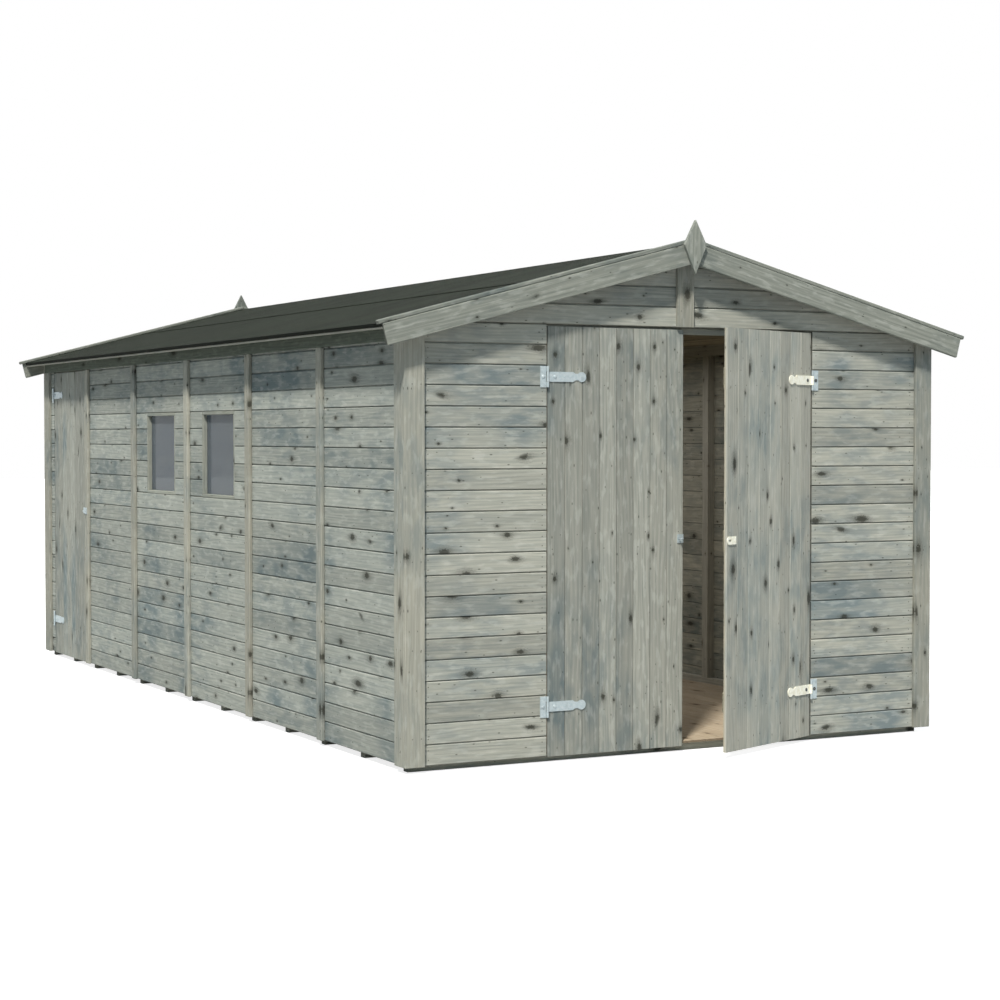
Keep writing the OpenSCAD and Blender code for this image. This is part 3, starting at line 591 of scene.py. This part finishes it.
rear_strips = bmesh.new()
y0, y1 = end_y[1]
for x in (-REAR_STRIP_X, REAR_STRIP_X):
    plank(rear_strips, (x - STRIP_W / 2, y0, FOOT), (x + STRIP_W / 2, y1, EAVES), "z", luck, STRIP_EASE)
piece("rear_strips", rear_strips, "shell", strip_wood, "trim_wood", "rear_cover_strips")

middle_strips = bmesh.new()
middle_top = APEX - SLOPE * MIDDLE_HALF_W
for y0, y1 in end_y:
    plank(middle_strips, (-MIDDLE_HALF_W, y0, EAVES), (MIDDLE_HALF_W, y1, middle_top), "z", luck, STRIP_EASE)
piece("gable_middle_strips", middle_strips, "shell", strip_wood, "trim_wood", "gable_strips")

# Eaves rails: a rail along the head of each side wall, under the overhang of the roof.
# It covers the top of the boards and the heads of the cover strips, and its colour is painted darker, as
# painted shade under the overhang.
rail_painted_shade_wood = timber("eaves rails painted shade", (97, 104, 95), (76, 83, 74), (71, 79, 73), 0.2, 0.15)
eaves = bmesh.new()
luck = random.Random(42)
rail_top = APEX - SLOPE * (HALF_W + STRIP_T)
for x0, x1 in side_x.values():
    plank(eaves, (x0, -HALF_L, STRIP_TOP), (x1, HALF_L, rail_top), "y", luck)
piece("eaves_rail_planks", eaves, "shell", rail_painted_shade_wood, "trim_wood", "eaves_rails")

# Roof boards: matched boards along the shed, nailed to the ridge beam, purlins and wall plates.
# Their chamfered faces look down into the room, and a batten stiffens each eaves edge.
ROOF_ROWS, ROOF_HALF_L, ROOF_REACH, ROOF_T, ROOF_INSIDE = 16, 3.016, 1.600, 0.015, 0.7
BATTEN_W, BATTEN_H, BATTEN_EASE, ROOF_SEAT = 0.035, 0.010, 0.0015, 0.0003
RIDGE = APEX + ROOF_SEAT / math.cos(PITCH)
SLOPE_L = ROOF_REACH / math.cos(PITCH)
roof_wood = timber("roof boards", (182, 178, 162), (146, 141, 125), (134, 136, 126), 0.4, 0.4)
batten_wood = timber("eaves battens", (182, 179, 166), (152, 151, 141), (130, 137, 134), 0.4, 0.06)
right_slope = Matrix.Translation((0, 0, RIDGE)) @ Matrix.Rotation(PITCH, 4, "Y")
mirror = Matrix.Scale(-1, 4, EAST)
slopes = {"right": right_slope, "left": mirror @ right_slope}
luck = random.Random(51)
step = SLOPE_L / ROOF_ROWS
for side, place in slopes.items():
    deck = bmesh.new()
    for i in range(ROOF_ROWS):
        corner, lap = (i * step, -ROOF_HALF_L, 0), i < ROOF_ROWS - 1
        verts = lay_board(deck, corner, NORTH, EAST, UP, 2 * ROOF_HALF_L, step, luck, lap, ROOF_T,
                          ROOF_INSIDE)
        bmesh.ops.transform(deck, matrix=place, verts=verts)
    piece("roof_boards_" + side, deck, "shell", roof_wood, "board_wood", "roof_deck_" + side)
battens = bmesh.new()
for place in slopes.values():
    low, high = (SLOPE_L - BATTEN_W, -ROOF_HALF_L, -BATTEN_H), (SLOPE_L, ROOF_HALF_L, 0)
    plank(battens, low, high, "y", luck, BATTEN_EASE, place=place)
piece("eaves_edge_battens", battens, "shell", batten_wood, "trim_wood", "eaves_battens")

# Roofing felt: mineral surfaced bitumen felt in long strips, turned down at the eaves.
# A strip over the ridge laps on to the lower ones. Green grey grit, darker on the turned edge.
GRAINS_A_METRE, DARK_EDGE_FROM, DARK_EDGE_TO = 420.0, 1.6000, 1.6025
felt, tree, shader = new_finish("roofing felt")
here = object_place(tree)
grit = put(tree, "ShaderNodeTexVoronoi", {"Vector": here, "Scale": GRAINS_A_METRE}).outputs
grain_pale, grain_dark, grain_dull = split(tree, grit["Color"])
drawn_out = put(tree, "ShaderNodeMapping", {"Vector": here, "Scale": (0.9, 3.0, 1.0)}).outputs[0]
faded = spread(tree, noise(tree, drawn_out, 1.6, 5.0), 0.32, 0.72)
base = tint(tree, faded, tone(27, 31, 26), tone(39, 44, 37))
base = tint(tree, times(tree, grain_pale, 0.40), base, tone(52, 57, 48))
base = tint(tree, spread(tree, grain_dark, 0.80, 0.95, 0.0, 0.6), base, tone(21, 23, 19))
outwards = sums(tree, "ABSOLUTE", put(tree, "ShaderNodeSeparateXYZ", {0: here}).outputs[0])
base = tint(tree, spread(tree, outwards, DARK_EDGE_FROM, DARK_EDGE_TO, 0.0, 0.75), base, tone(16, 18, 15))
lumps = put(tree, "ShaderNodeBump", {"Height": noise(tree, here, 4.0), "Strength": 0.35, "Distance": 0.02})
rough = put(tree, "ShaderNodeBump", {"Height": grit["Distance"], "Strength": 0.5, "Distance": 0.002,
                                     "Normal": lumps.outputs[0]})
feed(tree, shader, {"Base Color": base, "Roughness": spread(tree, grain_dull, 0.0, 1.0, 0.82, 0.96),
                    "Normal": rough.outputs[0], "Specular IOR Level": 0.05})
for name in ("felt_left", "felt_right", "felt_ridge"):
    coat(name, felt)

# Bargeboards and verge trims: planed boards nailed over the ends of the roof boards.
# They meet in a plumb mitre at the ridge, and a trim on top holds down the edge of the felt.
BARGE_Y0, BARGE_Y1, BARGE_L, BARGE_H, BARGE_EASE = ROOF_HALF_L, 3.036, SLOPE_L + 0.021, 0.101, 0.004
TRIM_L, TRIM_H, TRIM_Y0 = BARGE_L + 0.019, 0.019, BARGE_Y0 - 0.016
FELT_TOP, MITRE_SPARE, MITRE_GAP = 0.018, -0.05, 0.001
barge_wood = timber("bargeboards", (151, 153, 144), (116, 120, 113), (99, 107, 105), 0.7, 0.42)
barges = bmesh.new()
trims = bmesh.new()
luck = random.Random(61)
verge_sizes = ((barges, BARGE_Y0, FELT_TOP - BARGE_H, FELT_TOP, BARGE_L),
               (trims, TRIM_Y0, FELT_TOP, FELT_TOP + TRIM_H, TRIM_L))
for side, place in slopes.items():
    hand = 1 if side == "right" else -1
    for end in (-1, 1):
        for bm, inner, under, top, length in verge_sizes:
            y0, y1 = sorted((end * inner, end * BARGE_Y1))
            low, high = (MITRE_SPARE, y0, under), (length, y1, top)
            verts = plank(bm, low, high, "x", luck, BARGE_EASE, place=place)
            saw(bm, verts, (MITRE_GAP * hand, 0, 0), (-hand, 0, 0))
piece("verge_planks", barges, "shell", barge_wood, "trim_wood", "bargeboards")
piece("verge_top_strips", trims, "shell", barge_wood, "trim_wood", "verge_trims")

# Finials: flat kite shaped boards with eased edges, over the mitre of the bargeboards.
# Cut from one board each, with the grain upright.
FINIAL_HALF_W, FINIAL_UP, FINIAL_DOWN, FINIAL_T, FINIAL_EASE = 0.0625, 0.120, 0.140, 0.018, 0.002
FINIAL_Z = APEX + 0.005
kites = bmesh.new()
luck = random.Random(62)
for end in (-1, 1):
    verts = bmesh.ops.create_circle(kites, cap_ends=True, segments=4, radius=1.0)["verts"]
    for v in verts:
        x, z = round(v.co.x), round(v.co.y)
        v.co = (x * FINIAL_HALF_W, end * BARGE_Y1, FINIAL_Z + z * (FINIAL_UP if z > 0 else FINIAL_DOWN))
    verts = thicken(kites, faces_of(verts)[0], NORTH * (end * FINIAL_T))
    verts = ease_edges(kites, verts, FINIAL_EASE)
    mark_board(kites, faces_of(verts), UP, EAST, NORTH, luck, 0.0)
piece("finial_boards", kites, "shell", barge_wood, "trim_wood", "finials")

# Door leaves: upright matched boards clinched to three ledges, with braces that rise from the hinge side.
# Each leaf is built at its hinge pin and then set in place. The right front leaf stands open.
PIN_OUT, HALF_GAP, DOOR_BOARDS, DOOR_VEE = 0.008, 0.003, 8, 0.0017
LEAF_W, LEAF_H, SIDE_LEAF_W, SIDE_LEAF_H, HINGES = 0.7455, 2.006, 0.764, 1.923, (0.263, 1.801)
LEDGE_T, LEDGE_HALF_H, LEDGE_SHORT, LEDGE_EASE = 0.022, 0.0475, 0.020, 0.004
BRACE_W, BRACE_EASE = 0.110, 0.003
NAIL_APART, NAIL_RISE, STRAY_X, STRAY_Z = 0.022, 0.034, 0.003, 0.004
NAIL_PROUD, NAIL_HEIGHT = 0.0003, 0.0008
door_wood = timber("door boards", (171, 170, 160), (135, 138, 131), (113, 124, 125), 0.85, 0.42)
# The open right leaf takes a paler copy of the door boards, as painted light, since it turns away from the
# key light.
painted_light_door_wood = timber("door boards painted light", (199, 196, 184), (161, 161, 151), (137, 147, 146), 0.85, 0.42)
ledge_wood = timber("ledges and braces", (184, 178, 157), (146, 140, 119), (136, 138, 124), 0.45, 0.3)
pins = {j["name"]: Matrix.Translation((j["pos_m"][0], j["pos_m"][1], 0)) for j in frame["joints"]}
open_by = -next(j for j in frame["joints"] if j["name"] == "front_right_hinge")["range_deg"][0]
opened = Matrix.Rotation(math.radians(open_by), 4, "Z")
sideways = Matrix.Rotation(math.radians(-90), 4, "Z")
closed_right = pins["front_right_hinge"] @ mirror
leaves = {
    "front_left": (pins["front_left_hinge"], LEAF_W, LEAF_H),
    "front_right": (pins["front_right_hinge"] @ opened @ mirror, LEAF_W, LEAF_H),
    "side": (pins["side_hinge"] @ sideways, SIDE_LEAF_W, SIDE_LEAF_H),
}
nail_steel, tree, shader = new_finish("nail heads")
stain = noise(tree, object_place(tree), 300.0)
feed(tree, shader, {"Base Color": tint(tree, stain, tone(84, 84, 78), tone(140, 140, 132)),
                    "Roughness": spread(tree, stain, 0.3, 0.7, 0.45, 0.7), "Metallic": 0.6})


def stand_on(at, facing):
    """The place of a fixing on a face, with its own z pointing out."""
    return Matrix.Translation(Vector(at)) @ UP.rotation_difference(facing).to_matrix().to_4x4()


def nail_head(bm, at, facing, radius=0.0032):
    """A low round head, lying on a face."""
    place = stand_on(Vector(at) + facing * NAIL_PROUD, facing)
    bmesh.ops.create_cone(bm, cap_ends=True, segments=8, radius1=radius, radius2=radius * 0.75,
                          depth=NAIL_HEIGHT, matrix=place)


luck = random.Random(71)
levels = (HINGES[0], sum(HINGES) / 2, HINGES[1])
for name, (place, width, height) in leaves.items():
    body = name + "_door"
    boards, rails, struts, heads = bmesh.new(), bmesh.new(), bmesh.new(), bmesh.new()
    cover = width / DOOR_BOARDS
    for i in range(DOOR_BOARDS):
        corner = (HALF_GAP + i * cover, PIN_OUT, FOOT)
        lay_board(boards, corner, UP, EAST, NORTH, height, cover, luck, i < DOOR_BOARDS - 1, vee=DOOR_VEE)

    x0, x1 = HALF_GAP + LEDGE_SHORT, HALF_GAP + width - LEDGE_SHORT
    y0, y1 = PIN_OUT + THICK, PIN_OUT + THICK + LEDGE_T
    for z in levels:
        plank(rails, (x0, y0, z - LEDGE_HALF_H), (x1, y1, z + LEDGE_HALF_H), "x", luck, LEDGE_EASE)

    for below, above in zip(levels, levels[1:]):
        z0, z1 = below + LEDGE_HALF_H, above - LEDGE_HALF_H
        outline = ((x0, y0, z0), (x0 + BRACE_W, y0, z0), (x1, y0, z1), (x1 - BRACE_W, y0, z1))
        face = struts.faces.new([struts.verts.new(at) for at in outline])
        verts = ease_edges(struts, thicken(struts, face, NORTH * LEDGE_T), BRACE_EASE)
        run = Vector((x1 - BRACE_W - x0, 0, z1 - z0)).normalized()
        mark_board(struts, faces_of(verts), run, run.cross(NORTH), NORTH, luck, 0.0)

    for z in levels:
        for i in range(DOOR_BOARDS):
            for way in (-1, 1):
                x = HALF_GAP + (i + 0.5) * cover + way * NAIL_APART + luck.uniform(-STRAY_X, STRAY_X)
                nail_z = z + way * NAIL_RISE + luck.uniform(-STRAY_Z, STRAY_Z)
                nail_head(heads, (x, PIN_OUT, nail_z), -NORTH)

    for bm in (boards, rails, struts, heads):
        bmesh.ops.transform(bm, matrix=place, verts=bm.verts)
    # The open right leaf gets the paler boards, as painted light.
    leaf_wood = painted_light_door_wood if name == "front_right" else door_wood
    piece(name + "_boards", boards, body, leaf_wood, "cladding", name + "_leaf")
    piece(name + "_ledge_boards", rails, body, ledge_wood, "frame_wood", name + "_ledges")
    piece(name + "_brace_boards", struts, body, ledge_wood, "frame_wood", name + "_braces")
    piece(name + "_nails", heads, body, nail_steel, "galvanised")

# Wall nails: two at each end of every wall board, just clear of the cover strips.
# The strips and corner boards have a row of their own. Small flat heads, dulled by the weather.
NAIL_ROWS, BY_STRIP, BY_CORNER, NAIL_STRAY, BY_LINING = (0.28, 0.74), 0.052, 0.112, 0.006, 0.002
FRONT_NAILS, REAR_NAILS = (HALF_W - 0.105, DOORWAY + 0.022), (HALF_W - 0.105, 0.542, 0.438)
STRIP_NAILS, STRIP_NAIL_FOOT, STRIP_NAIL_STEP = 5, 0.13, 0.40
CORNER_NAILS, CORNER_SHIFT = (0.028, 0.072), 0.009
heads = bmesh.new()
luck = random.Random(72)
for row in range(ROWS):
    for rise in NAIL_ROWS:
        z = FOOT + (row + rise) * COVER
        for i in range(BAYS):
            first = i * BAY - HALF_L + (BY_CORNER if i == 0 else BY_STRIP)
            last = (i + 1) * BAY - HALF_L - (BY_CORNER if i == BAYS - 1 else BY_STRIP)
            mid = (i + 0.5) * BAY - HALF_L
            for y in (first, last):
                y += luck.uniform(-NAIL_STRAY, NAIL_STRAY)
                nail_head(heads, (HALF_W, y, z), EAST)
                in_window = i in WINDOW_BAYS and SILL_ROW <= row < HEAD_ROW and abs(y - mid) < WINDOW_W / 2
                in_doorway = SIDE_Y0 - BY_LINING < y < SIDE_Y1 + BY_LINING and z < SIDE_HEAD
                if not in_window and not in_doorway:
                    nail_head(heads, (-HALF_W, y, z), -EAST)
        for hand in (1, -1):
            for x in FRONT_NAILS:
                nail_head(heads, (hand * x, -HALF_L, z), -NORTH)
            for x in REAR_NAILS:
                nail_head(heads, (hand * x, HALF_L, z), NORTH)
for i in range(STRIP_NAILS):
    z = FOOT + STRIP_NAIL_FOOT + i * STRIP_NAIL_STEP
    for hand in (1, -1):
        x = hand * (HALF_W + STRIP_T)
        for strip in range(1, BAYS):
            y = strip * BAY - HALF_L + luck.uniform(-NAIL_STRAY, NAIL_STRAY)
            nail_head(heads, (x, y, z), EAST * hand)
        for end in (1, -1):
            for inset in CORNER_NAILS:
                nail_head(heads, (x, end * (HALF_L - inset), z), EAST * hand)
                at = (x - hand * (inset + CORNER_SHIFT), end * (HALF_L + STRIP_T), z)
                nail_head(heads, at, NORTH * end)
        nail_head(heads, (hand * REAR_STRIP_X, HALF_L + STRIP_T, z), NORTH)
piece("wall_nails", heads, "shell", nail_steel, "galvanised")

# Ironwork: pressed T hinges, hasps and staples in galvanised steel, with a soft spangle.
# The straps, hasp and screws of the right leaf are painted paler and warmer, as painted light on the same
# steel. Screws and coach bolts hold them.
IRON_T, LOCK_Z, SCREW_HEIGHT, SCREW_SUNK = 0.004, 1.032, 0.0022, 0.0008
STRAP_BOLT, STRAP_SCREWS, PLATE_BOLT = 0.040, (0.092, 0.184), -0.022
PLATE_SCREWS, SMALL_SCREW = ((-0.0123, 0.0405), (-0.0247, 0.0295)), 0.0042
HASP_SCREW_IN, HASP_SCREW_RISE = 0.067, 0.0095
STAPLE_IN, STAPLE_SCREW_X, STAPLE_SCREW_Z, STAPLE_SCREW = 0.0165, 0.011, 0.012, 0.0036
zinc, tree, shader = new_finish("galvanised steel")
here = object_place(tree)
spangle = split(tree, put(tree, "ShaderNodeTexVoronoi", {"Vector": here, "Scale": 130.0}).outputs["Color"])
dull = noise(tree, here, 40.0, 4.0)
skin = tint(tree, times(tree, spangle[0], 0.6), tone(169, 183, 188), tone(192, 199, 200))
skin = tint(tree, spread(tree, dull, 0.52, 0.75, 0.0, 0.5), skin, tone(136, 147, 151))
sheen = plus(tree, times(tree, dull, 0.7), times(tree, spangle[1], 0.3))
feed(tree, shader, {"Base Color": skin, "Metallic": 0.35,
                    "Roughness": spread(tree, sheen, 0.2, 0.8, 0.38, 0.62)})

# The same steel, painted pale and warm as painted light, for the right leaf.
painted_light_steel, tree, shader = new_finish("plated steel painted light")
dull = noise(tree, object_place(tree), 60.0, 4.0)
skin = tint(tree, spread(tree, dull, 0.35, 0.7), tone(254, 252, 238), tone(240, 236, 214))
feed(tree, shader, {"Base Color": skin, "Metallic": 0.1,
                    "Roughness": spread(tree, dull, 0.3, 0.7, 0.35, 0.55)})

bolt_steel, tree, shader = new_finish("blackened bolts")
worn = noise(tree, object_place(tree), 220.0, 3.0)
skin = tint(tree, spread(tree, worn, 0.4, 0.7), tone(58, 62, 62), tone(104, 108, 108))
feed(tree, shader, {"Base Color": skin, "Metallic": 0.4,
                    "Roughness": spread(tree, worn, 0.3, 0.7, 0.4, 0.6)})

for name in ("hinge_plates", "side_staple", "front_left_ironwork", "side_ironwork"):
    coat(name, zinc)
coat("front_right_ironwork", painted_light_steel)


def screw_head(bm, at, facing, radius=0.0048):
    """A round screw head with a sunk middle."""
    verts = bmesh.ops.create_cone(bm, cap_ends=True, segments=12, radius1=radius, radius2=radius * 0.62,
                                  depth=SCREW_HEIGHT)["verts"]
    top = max(faces_of(verts), key=lambda f: f.calc_center_median().z)
    bmesh.ops.inset_region(bm, faces=[top], thickness=radius * 0.28, depth=-SCREW_SUNK)
    verts = list({v for f in faces_of(verts) for v in f.verts} | set(top.verts))
    bmesh.ops.transform(bm, matrix=stand_on(at, facing), verts=verts)


def staple_screws(bm, centre, across, facing):
    """The four screws of a staple's plate."""
    for u in (-STAPLE_SCREW_X, STAPLE_SCREW_X):
        for v in (-STAPLE_SCREW_Z, STAPLE_SCREW_Z):
            screw_head(bm, Vector(centre) + across * u + UP * v, facing, STAPLE_SCREW)


def bolt_head(bm, at, facing, radius=0.0090):
    """The low dome of a coach bolt."""
    place = stand_on(at, facing) @ Matrix.Diagonal((1, 1, 0.5, 1))
    bmesh.ops.create_uvsphere(bm, u_segments=16, v_segments=8, radius=radius, matrix=place)


outer = PIN_OUT - IRON_T
wall_places = {"front_left": leaves["front_left"][0], "front_right": closed_right, "side": leaves["side"][0]}
for name, (place, width, _) in leaves.items():
    body, bolt_finish = name + "_door", bolt_steel if name == "front_right" else zinc
    bolts, screws = bmesh.new(), bmesh.new()
    for z in HINGES:
        bolt_head(bolts, (STRAP_BOLT, outer, z), -NORTH)
        for x in STRAP_SCREWS:
            screw_head(screws, (x, outer, z), -NORTH)
    free_edge = HALF_GAP + width
    if name == "front_left":
        staple_screws(screws, (free_edge - STAPLE_IN, outer, LOCK_Z), EAST, -NORTH)
    else:
        for rise in (-HASP_SCREW_RISE, HASP_SCREW_RISE):
            screw_head(screws, (free_edge - HASP_SCREW_IN, outer, LOCK_Z + rise), -NORTH, SMALL_SCREW)
    bmesh.ops.transform(bolts, matrix=place, verts=bolts.verts)
    piece(name + "_bolts", bolts, body, bolt_finish, "galvanised")
    bmesh.ops.transform(screws, matrix=place, verts=screws.verts)
    piece(name + "_screws", screws, body, painted_light_steel if name == "front_right" else zinc, "galvanised")

    bolts, screws = bmesh.new(), bmesh.new()
    for z in HINGES:
        bolt_head(bolts, (PLATE_BOLT, outer, z), -NORTH)
        for x, rise in PLATE_SCREWS:
            screw_head(screws, (x, outer, z + rise), -NORTH, SMALL_SCREW)
            screw_head(screws, (x, outer, z - rise), -NORTH, SMALL_SCREW)
    bmesh.ops.transform(bolts, matrix=wall_places[name], verts=bolts.verts)
    piece(name + "_plate_bolts", bolts, "shell", bolt_finish, "galvanised")
    bmesh.ops.transform(screws, matrix=wall_places[name], verts=screws.verts)
    if name == "side":
        staple_screws(screws, (-HALF_W - STRIP_T - IRON_T, SIDE_Y0 - STRIP_W / 2, LOCK_Z), NORTH, -EAST)
    piece(name + "_plate_screws", screws, "shell", zinc, "galvanised")

# Studio: a pale floor that keeps the shadow, a white surround, a high light from the front left,
# a weak soft one from the rear right and another in the room. Floor and surround are white where the camera,
# gloss or glass sees them, and dimmer as a light on the shed.
SKY, WHITE, PAPER, PAPER_GLOW = (0.20, 0.28, 0.335, 1), (1, 1, 1, 1), (0.42, 0.42, 0.42, 1), 0.80


def seen(tree):
    """One where the camera, a gloss or a glass looks, and nought for other light."""
    rays = tree.nodes.new("ShaderNodeLightPath").outputs
    mirrored = sums(tree, "MAXIMUM", rays["Is Glossy Ray"], rays["Is Transmission Ray"])
    return sums(tree, "MAXIMUM", rays["Is Camera Ray"], mirrored)


ground = bmesh.new()
bmesh.ops.create_grid(ground, x_segments=1, y_segments=1, size=60)
mesh = bpy.data.meshes.new("studio_floor")
ground.to_mesh(mesh)
ground.free()
studio = bpy.data.objects.new("studio_floor", mesh)
bpy.context.scene.collection.objects.link(studio)
paper, tree, shader = new_finish("studio paper")
feed(tree, shader, {"Base Color": PAPER, "Roughness": 0.9, "Emission Color": WHITE,
                    "Emission Strength": times(tree, seen(tree), PAPER_GLOW)})
mesh.materials.append(paper)

world = bpy.data.worlds.new("studio")
bpy.context.scene.world = world
world.use_nodes = True
tree = world.node_tree
feed(tree, tree.nodes["Background"], {"Color": tint(tree, seen(tree), SKY, WHITE)})


def sunlight(name, energy, spread_deg, colour, way):
    """A far light that comes from one way."""
    light = bpy.data.lights.new(name, "SUN")
    light.energy = energy
    light.angle = math.radians(spread_deg)
    light.color = colour
    lamp = bpy.data.objects.new(name, light)
    lamp.rotation_euler = Vector(way).to_track_quat("Z", "Y").to_euler()
    bpy.context.scene.collection.objects.link(lamp)


sunlight("key", 4.5, 6, (1.0, 0.963, 0.897), (-0.40, -0.43, 0.81))
sunlight("fill", 1.2, 15, (1.0, 1.0, 1.0), (0.73, 0.62, 0.29))

glow = bpy.data.lights.new("room", "AREA")
glow.shape = "RECTANGLE"
glow.size, glow.size_y = 2.2, 5.2
glow.energy = 31
glow.color = (1.0, 0.97, 0.95)
room = bpy.data.objects.new("room", glow)
room.location = (0, 0, 1.98)
room.visible_camera = False
bpy.context.scene.collection.objects.link(room)

bpy.context.scene.view_settings.view_transform = "Standard"
